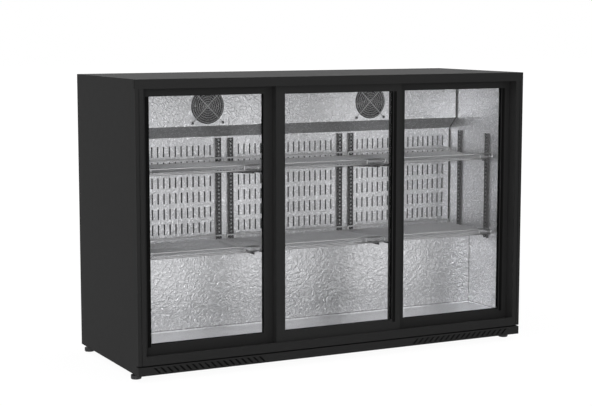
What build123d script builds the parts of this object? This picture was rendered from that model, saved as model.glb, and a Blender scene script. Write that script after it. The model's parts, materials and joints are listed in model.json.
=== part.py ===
from build123d import *
import math
import os

# Under counter bottle cooler: a powder coated steel cabinet on four levelling feet, with three
# sliding glass doors on two tracks, a stucco aluminium interior, six wire shelves, a fan evaporator
# behind a bent cover and the refrigeration set in a compartment at the lower back.
# Millimetres, +Z up. The front faces -Y and the origin is on the floor under the cabinet's middle.

# Cabinet
cabinet_width = 1350.0
cabinet_depth = 511.0
body_height = 869.0
foot_height = 20.0
skin = 1.0  # outer steel sheet
rear_inset = 8.0  # the back wall sits inside the side panels' rear edges
rear_return = 15.0  # folded rear edge of the side panels
rear_foam = 33.0

# Front frame
jamb_width = 26.0
jamb_front_depth = 15.0  # the jamb covers the side panel's front edge
jamb_wall = 2.0
groove_offset = 10.0
groove_width = 3.0
groove_depth = 2.0
top_rail_height = 28.0
bottom_rail_height = 27.0
rail_depth = 8.0
rail_wall = 1.5
kick_height = 26.0
kick_gap = 4.0
kick_depth = 14.0
kick_sheet = 1.2

# Slanted slots of the kick panel, in two mirrored groups
slots_per_group = 18
slot_spacing = 20.1
slot_width = 4.5
slot_rise = 17.0
slot_run = 17.0
slot_group_start = 48.0

# Doors and tracks
door_setback = 10.0
door_thickness = 24.0
door_gap = 4.0
track_wall = 2.5
track_clearance = 1.5
track_base = 2.0
rib_height = 5.0
rib_width = 2.4
divider_width = 1.6
divider_height = 9.0
guide_depth = 18.0
door_lift_room = 13.0
door_floor_gap = 3.0
stile_width = 30.0
inner_stile_width = 44.0  # the side doors' stiles that pass behind the middle door
middle_door_width = 440.0
side_door_overlap = 16.0
door_side_gap = 0.5
door_rail_height = 48.0
middle_rail_extra = 6.6  # the middle door's bottom rail is taller
door_top_rail = 36.0
door_wall = 3.0
rail_channel = 23.0  # open roller channel under each door's bottom rail
rib_notch = 1.0  # room round the rib where it passes the stiles
pull_width = 10.5  # finger groove beside the glass
pull_depth = 2.2
pull_lip = 1.5
pull_overrun = 8.0  # past the glass at the bottom
gasket = 4.0
gasket_width = 8.0
pane = 4.0
spacer = 6.0
glass_bite = 10.0  # how far the glass goes into the frame
edge_clearance = 0.5

# Door rollers
roller_radius = 9.0
roller_width = 7.0
roller_pin = 2.5
roller_pin_clearance = 0.08
roller_gap = 0.3
roller_inset = 60.0
roller_sides = 16

# Interior
wall_foam = 28.0
liner = 1.0
floor_height = 67.0  # above the cabinet's bottom edge
ceiling_drop = 29.0
step_depth = 247.0  # in front of the rear wall
step_height = 312.0
compartment_wall = 40.0

# Evaporator cover and duct panel
cover_depth = 122.0  # in front of the back liner, as the duct is
knee_drop = 137.0  # below the ceiling, as the next sizes are
cover_drop = 175.0
duct_depth = 80.0
inner_sheet = 1.2
cover_flange = 3.0
panel_side_gap = 3.0
duct_slot_width = 5.0
duct_row_gap = 16.0
duct_slot_spacing = 20.16
duct_slot_columns = 18
duct_slot_rows = 6
duct_top_margin = 44.0
duct_bottom_margin = 59.0
duct_section_spacing = 443.5
fan_offset = 298.0  # each evaporator fan from the cabinet's middle
fan_drop = 74.0
fan_opening = 57.0
fan_hole_spacing = 104.8

# Fan guards
guard_wire = 1.8
guard_rings = 7
guard_ring_spacing = 7.4
guard_lug = 4.0
guard_sides = 10

# Fans
fan_blades = 5
fan_radius = 52.0
fan_hub = 19.0
fan_depth = 16.0
blade_angle = 50.0
blade_thickness = 1.6
fan_shaft = 2.5
fan_gap = 6.0  # between a fan and the sheet in front of it
motor_gap = 1.0
shaft_clearance = 0.06
condenser_fan_radius = 86.0
motor_radius = 24.0
motor_length = 42.0
motor_bracket = 18.0
bracket_setback = 8.0
bracket_seat = 2.0

# Shelf supports
pilaster_width = 17.5
pilaster_depth = 8.0
side_pilaster_depth = 6.0
pilaster_sheet = 1.5
pilaster_gap = 2.0  # below the cover
pilaster_rise = 10.0  # above the step
side_pilaster_drop = 7.0  # below the step
side_pilaster_front = 155.0  # behind the cabinet's front
side_pilaster_rear = 68.0  # in front of the duct
outer_pilaster = 245.0
inner_pilaster = 202.0
bracket_thickness = 3.0
bracket_root = 26.0
bracket_tip = 7.0
bracket_clearance = 0.5
bracket_inset = 6.0  # from the shelf's front edge
clip_width = 10.0
clip_length = 12.0
clip_height = 7.0

# Shelves
upper_shelf_drop = 79.0  # below the cover
lower_shelf_rise = 21.5  # above the step
shelf_front = 109.0
shelf_rear_gap = 13.0
shelf_gap = 4.0
middle_shelf_width = 446.0
shelf_wall_gap = 8.0
frame_wire = 6.0
shelf_wire = 4.0
shelf_wire_spacing = 34.0
rail_wire = 5.0
rail_lift = 10.0
rail_post_offset = 154.0
shelf_seat_gap = 0.3

# Feet
foot_pad = 32.0
foot_pad_height = 12.0
foot_pad_edge = 1.5  # bevel round the sole
foot_pad_sides = 20
foot_stud = 10.0
foot_side_inset = 16.0
foot_front_inset = 65.0
foot_back_inset = 28.0
stud_reach = 22.0
stud_clearance = 0.08
well_gap = 1.0  # foam kept off the studs

# Refrigeration set
compressor_radius = 74.0
compressor_height = 150.0
compressor_inset = 255.0
condenser_spacing = 500.0
condenser_lift = 6.0
condenser_width = 212.0
condenser_height = 200.0
condenser_depth = 50.0
pipe = 8.0
pipe_gap = 0.1
pipe_height = 112.0
drier_offset = 30.0
drier_radius = 10.0
drier_height = 130.0
compressor_lift = 14.0
compressor_plate = 4.0
compressor_dome = 24.0
dome_share = 0.6
can_sides = 16
mount_inset = 24.0
mount_width = 18.0
terminal_depth = 30.0
terminal_width = 50.0
evaporator_width = 300.0
evaporator_depth = 70.0
evaporator_height = 110.0
evaporator_gap = 14.0
end_plate = 5.0
shroud_gap = 6.0
shroud_sides = 16
shroud_depth = 22.0
inlet_radius = 10.0
inlet_bore = 8.0
inlet_inset = 90.0
inlet_height = 60.0
inlet_neck = 2.0
inlet_depth = 6.0
inlet_margin = 1.0
controller_inset = 200.0
controller_width = 120.0
controller_height = 90.0
controller_depth = 60.0
controller_gap = 30.0
grille_length = 220.0
grille_width = 6.0
grille_spacing = 22.0
grille_rows = 8

# Places worked out from the sizes above
right = cabinet_width / 2
left = -right
back = cabinet_depth / 2
front = -back
base = foot_height
roof = base + body_height
opening_left = left + jamb_width
opening_right = -opening_left
opening_low = base + kick_height + kick_gap + bottom_rail_height
opening_high = roof - top_rail_height
front_door = front + door_setback
rear_door = front_door + door_thickness + door_gap
track_back = rear_door + door_thickness + track_clearance + track_wall
frame_low = base + kick_height + kick_gap
track_floor = frame_low + track_base
rib_top = track_floor + rib_height
rail_roof = roof - skin
track_roof = rail_roof - track_base
door_low = track_floor + door_floor_gap
door_high = track_roof - door_lift_room
wall_left = left + skin + wall_foam + liner
wall_right = -wall_left
floor = base + floor_height
ceiling = roof - ceiling_drop
step_top = base + step_height
rear_wall = back - rear_inset
step_face = rear_wall - step_depth
liner_back = rear_wall - skin - rear_foam - liner
compartment_front = step_face + compartment_wall
compartment_roof = step_top - compartment_wall
knee = ceiling - knee_drop
cover_foot = ceiling - cover_drop
fan_middle = ceiling - fan_drop
cover_face = liner_back - cover_depth
duct_face = liner_back - duct_depth
shelf_near = front + shelf_front
shelf_far = duct_face - shelf_rear_gap
side_pilasters = (front + side_pilaster_front, duct_face - side_pilaster_rear)
pilaster_top = cover_foot - cover_flange - pilaster_gap
pilaster_offsets = (outer_pilaster, inner_pilaster)
shelf_levels = (cover_foot - upper_shelf_drop, step_top + lower_shelf_rise)
compressor_x = left + compressor_inset
condenser_x = compressor_x + condenser_spacing
compressor_y = (compartment_front + rear_wall - skin) / 2
condenser_back = compressor_y + pipe
condenser_middle = base + kick_sheet + condenser_lift + condenser_height / 2
evaporator_fan_front = cover_face + inner_sheet + fan_gap
condenser_fan_front = condenser_back + inner_sheet + fan_gap
axle = rib_top + roller_gap + roller_radius
glass_start = door_wall + gasket
glass_thickness = 2 * pane + spacer


def block(x, y, z):
    """A box between two values on each axis."""
    middle = [(a + b) / 2 for a, b in (x, y, z)]
    return Pos(*middle) * Box(x[1] - x[0], y[1] - y[0], z[1] - z[0])


def along_x(section, start, end):
    """A section drawn with (y, z) points, run from one x to another."""
    return extrude(Plane.YZ.offset(start) * section, end - start)


def along_y(section, start, end):
    """A section drawn with (x, z) points, run from one y to another."""
    return extrude(Plane.XZ.offset(-end) * section, end - start)


def along_z(section, start, end):
    """A section drawn with (x, y) points, run from one z to another."""
    return extrude(Plane.XY.offset(start) * section, end - start)


def outline(*points):
    """A flat face with straight sides."""
    return make_face(Polyline(*points, close=True))


def patch(a, b):
    """A flat rectangle between two ranges."""
    return outline((a[0], b[0]), (a[1], b[0]), (a[1], b[1]), (a[0], b[1]))


def folded(points, thickness):
    """The section of a folded sheet: a line of bends, thickened on its left."""
    normals = []
    for (x0, y0), (x1, y1) in zip(points, points[1:]):
        length = math.hypot(x1 - x0, y1 - y0)
        normals.append(((y0 - y1) / length, (x1 - x0) / length))
    normals = [normals[0]] + normals + [normals[-1]]
    inner = []
    for (x, y), (ax, ay), (bx, by) in zip(points, normals, normals[1:]):
        share = thickness / (1 + ax * bx + ay * by)
        inner.append((x + share * (ax + bx), y + share * (ay + by)))
    return outline(*points, *reversed(inner))


def rod_x(start, end, y, z, diameter):
    """A round rod along X."""
    return along_x(Pos(y, z) * Circle(diameter / 2), start, end)


def rod_y(start, end, x, z, diameter):
    """A round rod along Y."""
    return along_y(Pos(x, z) * Circle(diameter / 2), start, end)


def rod_z(start, end, x, y, diameter):
    """A round rod along Z."""
    return along_z(Pos(x, y) * Circle(diameter / 2), start, end)


def both_sides(shape):
    """A shape and its mirror image across the cabinet's middle plane."""
    return [shape, mirror(shape, Plane.YZ)]


# ---- Cabinet shell ----


def top_panel():
    return block((left, right), (front, back), (rail_roof, roof))


def side_panel():
    """The left side panel, folded in at its rear edge."""
    start = front + jamb_front_depth
    bends = [(left + rear_return, back), (left, back), (left, start)]
    return along_z(folded(bends, skin), base, rail_roof)


def back_panel():
    inside = left + skin
    return block((inside, -inside), (rear_wall - skin, rear_wall), (compartment_roof, rail_roof))


def base_pan():
    """The folded floor pan, with hexagonal rivet nut holes for the feet's studs."""
    inside = left + skin
    start = front + jamb_front_depth
    bends = [(start, frame_low), (start, base), (rear_wall - skin, base)]
    pan = along_x(folded(bends, kick_sheet), inside, -inside)
    for x, y in foot_places():
        pan -= along_z(Pos(x, y) * stud_outline(stud_clearance), base, base + kick_sheet)
    return pan


def insulation_foam():
    """The foamed-in core between the outer skins and the liner."""
    inside = left + skin
    pan_top = base + kick_sheet
    foam_front = track_back + liner
    rear = rear_wall - skin
    foam = block((inside, -inside), (foam_front, rear), (pan_top, rail_roof))
    sill = (front + jamb_front_depth + kick_sheet, foam_front)
    foam += block((inside, -inside), sill, (pan_top, frame_low))
    room = (wall_left - liner, wall_right + liner)
    step = (step_face, liner_back + liner)
    foam -= block(room, (foam_front, liner_back + liner), (step_top - liner, ceiling + liner))
    foam -= block(room, (foam_front, step_face + liner), (floor - liner, step_top))
    foam -= block(room, (compartment_front, rear), (pan_top, compartment_roof))
    well = foot_stud / 2 + well_gap
    for x, y in foot_places():
        foam -= block((x - well, x + well), (y - well, y + well), (pan_top, base + stud_reach + well_gap))
    return foam


def side_liner():
    """The left wall of the storage space, with a front lip over the foam."""
    bends = [(opening_left, track_back), (wall_left, track_back), (wall_left, liner_back)]
    sheet = along_z(folded(bends, liner), floor, ceiling)
    return sheet - block((wall_left - liner, wall_left), (step_face, liner_back), (floor, step_top))


def ceiling_liner():
    inside = wall_left - liner
    return block((inside, -inside), (track_back, liner_back), (ceiling, ceiling + liner))


def floor_liner():
    """Storage floor, riser and step top: three sheets that meet along their edges."""
    x = (wall_left, wall_right)
    return [
        block(x, (track_back, step_face), (floor - liner, floor)),
        block(x, (step_face, step_face + liner), (floor - liner, step_top - liner)),
        block(x, (step_face, liner_back), (step_top - liner, step_top)),
    ]


def back_liner():
    inside = wall_left - liner
    return block((inside, -inside), (liner_back, liner_back + liner), (step_top, ceiling))


# ---- Front frame and tracks ----


def front_rail(low, high, start, end):
    """A hollow rail across the front."""
    hollow = patch((front + rail_wall, front + rail_depth - rail_wall), (low + rail_wall, high - rail_wall))
    return along_x(patch((front, front + rail_depth), (low, high)) - hollow, start, end)


def jamb():
    """The left jamb: a hollow profile with a fine groove down its face."""
    side = front + jamb_front_depth
    section = outline(
        (left, front),
        (left + groove_offset, front),
        (left + groove_offset, front + groove_depth),
        (left + groove_offset + groove_width, front + groove_depth),
        (left + groove_offset + groove_width, front),
        (opening_left, front),
        (opening_left, track_back),
        (left + skin, track_back),
        (left + skin, side),
        (left, side),
    )
    chamber = (left + skin + jamb_wall, opening_left - jamb_wall)
    section -= patch(chamber, (front + groove_depth + jamb_wall, side))
    section -= patch(chamber, (side + jamb_wall, track_back - jamb_wall))
    return along_z(section, frame_low, opening_high)


def bottom_track():
    """The sill: a channel with a rib under each door, a divider and a rear wall."""
    start = front + rail_depth
    section = patch((start, track_back), (track_floor - track_base, track_floor))
    for door in (front_door, rear_door):
        middle = door + door_thickness / 2
        section += patch((middle - rib_width / 2, middle + rib_width / 2), (track_floor, rib_top))
    divider = front_door + door_thickness + door_gap / 2
    half = divider_width / 2
    section += patch((divider - half, divider + half), (track_floor, track_floor + divider_height))
    section += patch((track_back - track_wall, track_back), (track_floor, floor))
    return along_x(section, opening_left, opening_right)


def top_track():
    """The head channel that keeps the doors upright."""
    start = front + rail_depth
    section = patch((start, track_back), (track_roof, rail_roof))
    divider = front_door + door_thickness + door_gap / 2
    half = divider_width / 2
    section += patch((divider - half, divider + half), (track_roof - guide_depth, track_roof))
    section += patch((track_back - track_wall, track_back), (ceiling, track_roof))
    return along_x(section, opening_left, opening_right)


def kick_panel():
    """The plinth: a shallow folded tray with two mirrored groups of slanted slots."""
    low, high = base, base + kick_height
    tray = block((left, right), (front, front + kick_depth), (low, high))
    hollow = (left + kick_sheet, right - kick_sheet)
    tray -= block(
        hollow, (front + kick_sheet, front + kick_depth), (low + kick_sheet, high - kick_sheet)
    )
    middle = (low + high) / 2
    slant = slot_width / 2 * math.sqrt(2)
    slots = Sketch()
    for i in range(slots_per_group):
        x = left + slot_group_start + i * slot_spacing
        slots += outline(
            (x, middle + slot_rise / 2),
            (x + 2 * slant, middle + slot_rise / 2),
            (x + slot_run + 2 * slant, middle - slot_rise / 2),
            (x + slot_run, middle - slot_rise / 2),
        )
    for cut in both_sides(along_y(slots, front, front + kick_sheet)):
        tray -= cut
    return tray


# ---- Doors ----


def door_frame(start, width, stiles, face, sill, pull):
    """Two full-height stiles and two rails between them, rebated for the glass from behind."""
    end = start + width
    rear = face + door_thickness
    middle = (face + rear) / 2
    hollow = (face + door_wall, rear - door_wall)
    rebate = (face + door_wall, rear)
    pieces = []
    for edge, stile, inward in ((start, stiles[0], 1), (end, stiles[1], -1)):
        inner = edge + inward * stile
        section = patch(sorted((edge, inner)), (face, rear))
        section -= patch(sorted((inner, inner - inward * (glass_bite + edge_clearance))), rebate)
        far = edge + inward * door_wall
        chamber = sorted((far, inner - inward * (glass_bite + edge_clearance + door_wall)))
        section -= patch(chamber, hollow)
        post = along_z(section, door_low, door_high)
        if inward == pull:
            post -= finger_groove(inner - inward * (pull_lip + pull_width / 2), face, sill)
        notch = (middle - rib_width / 2 - rib_notch, middle + rib_width / 2 + rib_notch)
        pieces.append(post - block(sorted((edge, inner)), notch, (door_low, rib_top + rib_notch)))
    bite = glass_bite + edge_clearance
    across = (start + stiles[0], end - stiles[1])
    bottom = outline((face, door_low), (rear, door_low), (rear, door_low + sill), (face, door_low + sill))
    bottom -= patch(hollow, (door_low, door_low + rail_channel))
    bottom -= patch(rebate, (door_low + sill - bite, door_low + sill))
    top = patch((face, rear), (door_high - door_top_rail, door_high))
    top -= patch(rebate, (door_high - door_top_rail, door_high - door_top_rail + bite))
    head = door_high - door_top_rail + bite + door_wall
    top -= patch(hollow, (head, door_high - door_wall))
    pieces.append(along_x(bottom, *across))
    pieces.append(along_x(top, *across))
    for x in roller_places(start, width):
        pieces.append(rod_y(*hollow, x, axle, 2 * roller_pin))
    return pieces


def finger_groove(x, face, sill):
    """The hollow of a finger pull down a stile, as a cutter."""
    radius = (pull_width**2 / 4 + pull_depth**2) / (2 * pull_depth)
    low, high = door_low + sill - pull_overrun, door_high - door_top_rail
    return rod_z(low, high, x, face + pull_depth - radius, 2 * radius)


def door_opening(start, width, stiles, sill):
    """The clear rectangle inside a door's frame."""
    return (start + stiles[0], start + width - stiles[1]), (door_low + sill, door_high - door_top_rail)


def grown(span, amount):
    """A range made wider at both ends."""
    return (span[0] - amount, span[1] + amount)


def door_glass(start, width, stiles, face, sill):
    """Two panes, one behind the other."""
    x, z = door_opening(start, width, stiles, sill)
    panes = []
    for depth in (glass_start, glass_start + pane + spacer):
        panes.append(block(grown(x, glass_bite), (face + depth, face + depth + pane), grown(z, glass_bite)))
    return panes


def door_gasket(start, width, stiles, face, sill):
    """The glazing gasket in front of the glass and the spacer between the panes."""
    x, z = door_opening(start, width, stiles, sill)
    rings = []
    for depth, thickness in ((door_wall, gasket), (glass_start + pane, spacer)):
        ring = patch(grown(x, gasket_width), grown(z, gasket_width)) - patch(x, z)
        rings.append(along_y(ring, face + depth, face + depth + thickness))
    return rings


def roller_places(start, width):
    """The x of a door's two roller pins."""
    return start + roller_inset, start + width - roller_inset


def roller(x, face):
    """A roller on its pin, running on the track's rib."""
    middle = face + door_thickness / 2
    half = roller_width / 2
    rim = RegularPolygon(roller_radius, roller_sides) - Circle(roller_pin + roller_pin_clearance)
    return along_y(Pos(x, axle) * rim, middle - half, middle + half)


def doors():
    """Each door's name, left edge, width, stiles, front face, bottom rail height and pull side."""
    middle_start = -middle_door_width / 2
    side_start = opening_left + door_side_gap
    side_width = middle_start + side_door_overlap - side_start
    return (
        ("left", side_start, side_width, (stile_width, inner_stile_width), rear_door, door_rail_height, 1),
        (
            "middle",
            middle_start,
            middle_door_width,
            (stile_width, stile_width),
            front_door,
            door_rail_height + middle_rail_extra,
            -1,
        ),
        (
            "right",
            -side_start - side_width,
            side_width,
            (inner_stile_width, stile_width),
            rear_door,
            door_rail_height,
            -1,
        ),
    )


# ---- Interior ----


def evaporator_cover():
    """The bent cover over the evaporator, with two round fan openings."""
    face = duct_face - inner_sheet
    bends = [(cover_face, ceiling), (cover_face, knee), (face, cover_foot), (face, cover_foot - cover_flange)]
    ends = (wall_left + panel_side_gap, wall_right - panel_side_gap)
    cover = along_x(folded(bends, inner_sheet), *ends)
    for x in (-fan_offset, fan_offset):
        cover -= rod_y(cover_face, cover_face + inner_sheet, x, fan_middle, 2 * fan_opening)
    return cover


def duct_panel():
    """The air duct's front: three fields of upright slots."""
    ends = (wall_left + panel_side_gap, wall_right - panel_side_gap)
    low, high = step_top + duct_bottom_margin, cover_foot - duct_top_margin
    row_spacing = (high - low) / (duct_slot_rows - 1)
    slots = Sketch()
    for section in (-1, 0, 1):
        field = GridLocations(duct_slot_spacing, row_spacing, duct_slot_columns, duct_slot_rows)
        place = Pos(section * duct_section_spacing, (low + high) / 2)
        slots += [place * spot * Rectangle(duct_slot_width, row_spacing - duct_row_gap) for spot in field]
    return along_y(patch(ends, (step_top, cover_foot)) - slots, duct_face, duct_face + inner_sheet)


def fan_guard(x):
    """A wire guard: rings in front of two crossed spokes that end in screw lugs."""
    place = Pos(x, fan_middle)
    reach = fan_hole_spacing / math.sqrt(2)
    cross = Sketch()
    for turn in (45, -45):
        cross += place * Rot(0, 0, turn) * Rectangle(2 * reach, guard_wire)
    for spot in GridLocations(fan_hole_spacing, fan_hole_spacing, 2, 2):
        cross += place * spot * Rectangle(2 * guard_lug, 2 * guard_lug)
    pieces = [along_y(cross, cover_face - guard_wire, cover_face)]
    for i in range(1, guard_rings + 1):
        ring = RegularPolygon(i * guard_ring_spacing + guard_wire / 2, guard_sides)
        ring -= RegularPolygon(i * guard_ring_spacing - guard_wire / 2, guard_sides)
        pieces.append(along_y(place * ring, cover_face - 2 * guard_wire, cover_face - guard_wire))
    return pieces


def fan(radius):
    """An axial fan about +Y, with its hub's front at the origin."""
    rotor = along_y(RegularPolygon(fan_hub, 2 * fan_blades), 0, fan_depth)
    rotor -= rod_y(fan_depth / 2, fan_depth, 0, 0, 2 * (fan_shaft + shaft_clearance))
    root = fan_hub * math.cos(math.pi / fan_blades / 2) - blade_thickness
    chord = fan_depth / math.cos(math.radians(blade_angle))
    blade = Pos((root + radius) / 2, fan_depth / 2, 0) * Rot(blade_angle, 0, 0)
    blade *= Box(radius - root, chord, blade_thickness)
    for i in range(fan_blades):
        rotor += Rot(0, 360 / fan_blades * (i + 0.25), 0) * blade
    return rotor


def motor(x, start, z, bracket_end):
    """A shaded pole motor with its shaft in the fan's hub, on a bracket that ends at a sheet."""
    around = (x - motor_radius, x + motor_radius), (z - motor_radius, z + motor_radius)
    body = along_y(patch(*around), start, start + motor_length)
    body += rod_y(start - motor_gap - fan_depth / 2, start, x, z, 2 * fan_shaft)
    edge = z + math.copysign(motor_radius - bracket_seat, bracket_end - z)
    strap = start + bracket_setback
    half = motor_bracket / 2
    return body + block((x - half, x + half), (strap, strap + motor_bracket), sorted((edge, bracket_end)))


def fan_motors():
    """The three motors with their brackets."""
    start = evaporator_fan_front + fan_depth + motor_gap
    pieces = [motor(x, start, fan_middle, ceiling) for x in (-fan_offset, fan_offset)]
    start = condenser_fan_front + fan_depth + motor_gap
    return pieces + [motor(condenser_x, start, condenser_middle, base + kick_sheet)]


def shelf_pilasters():
    """Channel strips on the duct panel and on the side walls."""
    pieces = []
    for offset in pilaster_offsets:
        near, far = -offset - pilaster_width / 2, -offset + pilaster_width / 2
        face = duct_face - pilaster_depth
        bends = [(near, duct_face), (near, face), (far, face), (far, duct_face)]
        strip = along_z(folded(bends, pilaster_sheet), step_top + pilaster_rise, pilaster_top)
        pieces += both_sides(strip)
    for middle, low in zip(side_pilasters, (step_top - side_pilaster_drop, step_top)):
        near, far = middle - pilaster_width / 2, middle + pilaster_width / 2
        face = wall_left + side_pilaster_depth
        bends = [(wall_left, near), (face, near), (face, far), (wall_left, far)]
        pieces += both_sides(along_z(folded(bends, pilaster_sheet), low, pilaster_top))
    return pieces


def shelf_supports():
    """Cantilever brackets from the rear strips and clips on the side strips."""
    pieces = []
    for level in shelf_levels:
        seat = level - shelf_wire - frame_wire - shelf_seat_gap
        tip, root = shelf_near + bracket_inset, duct_face - pilaster_depth
        foot_z = max(seat - bracket_root, step_top + bracket_clearance)
        arm = outline((root, seat), (tip, seat), (tip, seat - bracket_tip), (root, foot_z))
        half = bracket_thickness / 2
        for offset in pilaster_offsets:
            pieces += both_sides(along_x(arm, -offset - half, -offset + half))
        start = wall_left + side_pilaster_depth
        for middle in side_pilasters:
            across = (middle - clip_width / 2, middle + clip_width / 2)
            clip = block((start, start + clip_length), across, (seat - clip_height, seat))
            pieces += both_sides(clip)
    return pieces


def shelf(start, end, top):
    """A welded wire shelf: a frame with two ties, close wires on it and a raised rail at each edge."""
    near, far = shelf_near, shelf_far
    wire_foot, frame_foot = top - shelf_wire, top - shelf_wire - frame_wire
    middle = (start + end) / 2
    ties = (middle - rail_post_offset, middle + rail_post_offset)
    frame = patch((start, end), (near, far))
    holes = (start, *ties, end)
    for a, b in zip(holes, holes[1:]):
        bay = (a + frame_wire, b - frame_wire)
        frame -= patch(bay, (near + frame_wire, far - frame_wire))
    pieces = [along_z(frame, frame_foot, wire_foot)]
    count = int((end - start - 2 * frame_wire) // shelf_wire_spacing)
    for i in range(count):
        x = middle + (i - (count - 1) / 2) * shelf_wire_spacing
        across = (x - shelf_wire / 2, x + shelf_wire / 2)
        pieces.append(block(across, (near + rail_wire, far - rail_wire), (wire_foot, top)))
    rail_high = top + rail_lift + rail_wire / 2
    fence = patch((start, end), (wire_foot, rail_high))
    posts = (start, *(x - rail_wire / 2 for x in ties), end - rail_wire)
    for a, b in zip(posts, posts[1:]):
        fence -= patch((a + rail_wire, b), (wire_foot, rail_high - rail_wire))
    for y in (near, far - rail_wire):
        pieces.append(along_y(fence, y, y + rail_wire))
    return pieces


def shelf_spans():
    """Each shelf's name and its two ends."""
    half = middle_shelf_width / 2
    outer = wall_left + shelf_wall_gap
    return (
        ("left", outer, -half - shelf_gap),
        ("middle", -half, half),
        ("right", half + shelf_gap, -outer),
    )


# ---- Feet ----


def foot_places():
    """The feet's centres."""
    x = left + foot_side_inset + skin
    ys = (front + foot_front_inset, back - foot_back_inset)
    return [(sx, y) for y in ys for sx in (x, -x)]


def foot(x, y):
    """A levelling foot: a bevelled pad and a hexagonal stud up into the base."""
    pad = along_z(Pos(x, y) * RegularPolygon(foot_pad / 2, foot_pad_sides), 0, foot_pad_height)
    pad = chamfer(pad.faces().sort_by(Axis.Z)[0].edges(), foot_pad_edge)
    stud = along_z(Pos(x, y) * stud_outline(0), foot_pad_height, foot_height + stud_reach)
    return pad + stud


def stud_outline(clearance):
    """The hexagon of a foot's stud, or of its hole when given a clearance."""
    return RegularPolygon(foot_stud / 2 + clearance, 6, major_radius=False)


# ---- Refrigeration ----


def evaporator_coil():
    """The finned coil between the two fans, with its two end plates."""
    half = evaporator_width / 2
    near, far = liner_back - evaporator_depth - evaporator_gap, liner_back - evaporator_gap
    low, high = ceiling - evaporator_height, ceiling - evaporator_gap
    coil = block((-half, half), (near, far), (low, high))
    for x in (-half, half - inner_sheet):
        coil += block((x, x + inner_sheet), grown((near, far), end_plate), (low - end_plate, ceiling))
    return coil


def compressor():
    """A hermetic compressor on its foot plate, with its terminal box."""
    low = base + kick_sheet
    seat = low + compressor_lift
    top = low + compressor_height
    place = Pos(compressor_x, compressor_y)
    belly = place * RegularPolygon(compressor_radius, can_sides)
    neck = place * RegularPolygon(compressor_radius * dome_share, can_sides)
    shell = along_z(belly, seat, top - compressor_dome)
    shell += loft([Pos(0, 0, top - compressor_dome) * belly, Pos(0, 0, top) * neck])
    reach = compressor_radius + compressor_plate
    x, y = (compressor_x, compressor_x), (compressor_y, compressor_y)
    shell += block(grown(x, reach), grown(y, reach), (seat - compressor_plate, seat))
    for spot in GridLocations(2 * reach - mount_inset, 2 * reach - mount_inset, 2, 2):
        mount = place * spot * Rectangle(mount_width, mount_width)
        shell += along_z(mount, low, seat - compressor_plate)
    box = compressor_x - compressor_radius
    across = (box - terminal_depth / 2, box + terminal_depth / 2)
    return shell + block(across, grown(y, terminal_width / 2), (seat, seat + terminal_width))


def condenser_coil():
    """The finned condenser block, standing on the pan."""
    half = condenser_width / 2
    x = (condenser_x - half, condenser_x + half)
    z = (base + kick_sheet, condenser_middle + condenser_height / 2)
    return block(x, (condenser_back - condenser_depth, condenser_back), z)


def condenser_shroud():
    """The sheet that ducts the condenser fan, with its collar."""
    place = Pos(condenser_x, condenser_middle)
    radius = condenser_fan_radius + shroud_gap
    hole = place * RegularPolygon(radius, shroud_sides)
    collar = place * RegularPolygon(radius + inner_sheet, shroud_sides) - hole
    plate = place * Rectangle(condenser_width, condenser_height) - hole
    shroud = along_y(plate, condenser_back, condenser_back + inner_sheet)
    return shroud + along_y(collar, condenser_back, condenser_back + shroud_depth)


def refrigerant_pipes():
    """The discharge line from the compressor to the condenser, and the filter drier."""
    low = base + kick_sheet
    section = Pos(compressor_y, low + pipe_height) * RegularPolygon(pipe / 2, 6)
    shell = compressor_x + compressor_radius + pipe_gap
    line = along_x(section, shell, condenser_x - condenser_width / 2)
    drier_x = condenser_x + condenser_width / 2 + drier_offset
    drier = Pos(drier_x, compressor_y) * RegularPolygon(drier_radius, 8)
    return [line, along_z(drier, low, low + drier_height)]


def rear_grille():
    """The compartment's cover, with two fields of level slots and the cord's hole."""
    inside = left + skin
    low, high = base + kick_sheet, compartment_roof
    plate = patch((inside, -inside), (low, high))
    rows = GridLocations(0, grille_spacing, 1, grille_rows)
    for x in (condenser_x, compressor_x):
        place = Pos(x, (low + high) / 2)
        plate -= Sketch() + [place * row * Rectangle(grille_length, grille_width) for row in rows]
    plate -= Pos(*inlet_place()) * RegularPolygon(inlet_radius - inlet_neck, 6)
    return along_y(plate, rear_wall - skin, rear_wall)


def inlet_place():
    """The x and z of the mains cord's gland."""
    return right - inlet_inset, base + inlet_height


def mains_inlet():
    """The gland that the mains cord leaves by."""
    place = Pos(*inlet_place())
    inner = rear_wall - skin - inlet_depth
    gland = along_y(place * RegularPolygon(inlet_radius, 6), rear_wall, back - inlet_margin)
    gland += along_y(place * RegularPolygon(inlet_radius - inlet_neck, 6), inner, rear_wall)
    return gland - along_y(place * RegularPolygon(inlet_bore / 2, 6), inner, back)


def controller_box():
    """The electrical box inside the compartment."""
    x = right - controller_inset
    rear = rear_wall - controller_gap
    across = (x - controller_width / 2, x + controller_width / 2)
    low = base + kick_sheet
    return block(across, (rear - controller_depth, rear), (low, low + controller_height))


# ---- Export ----

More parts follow.
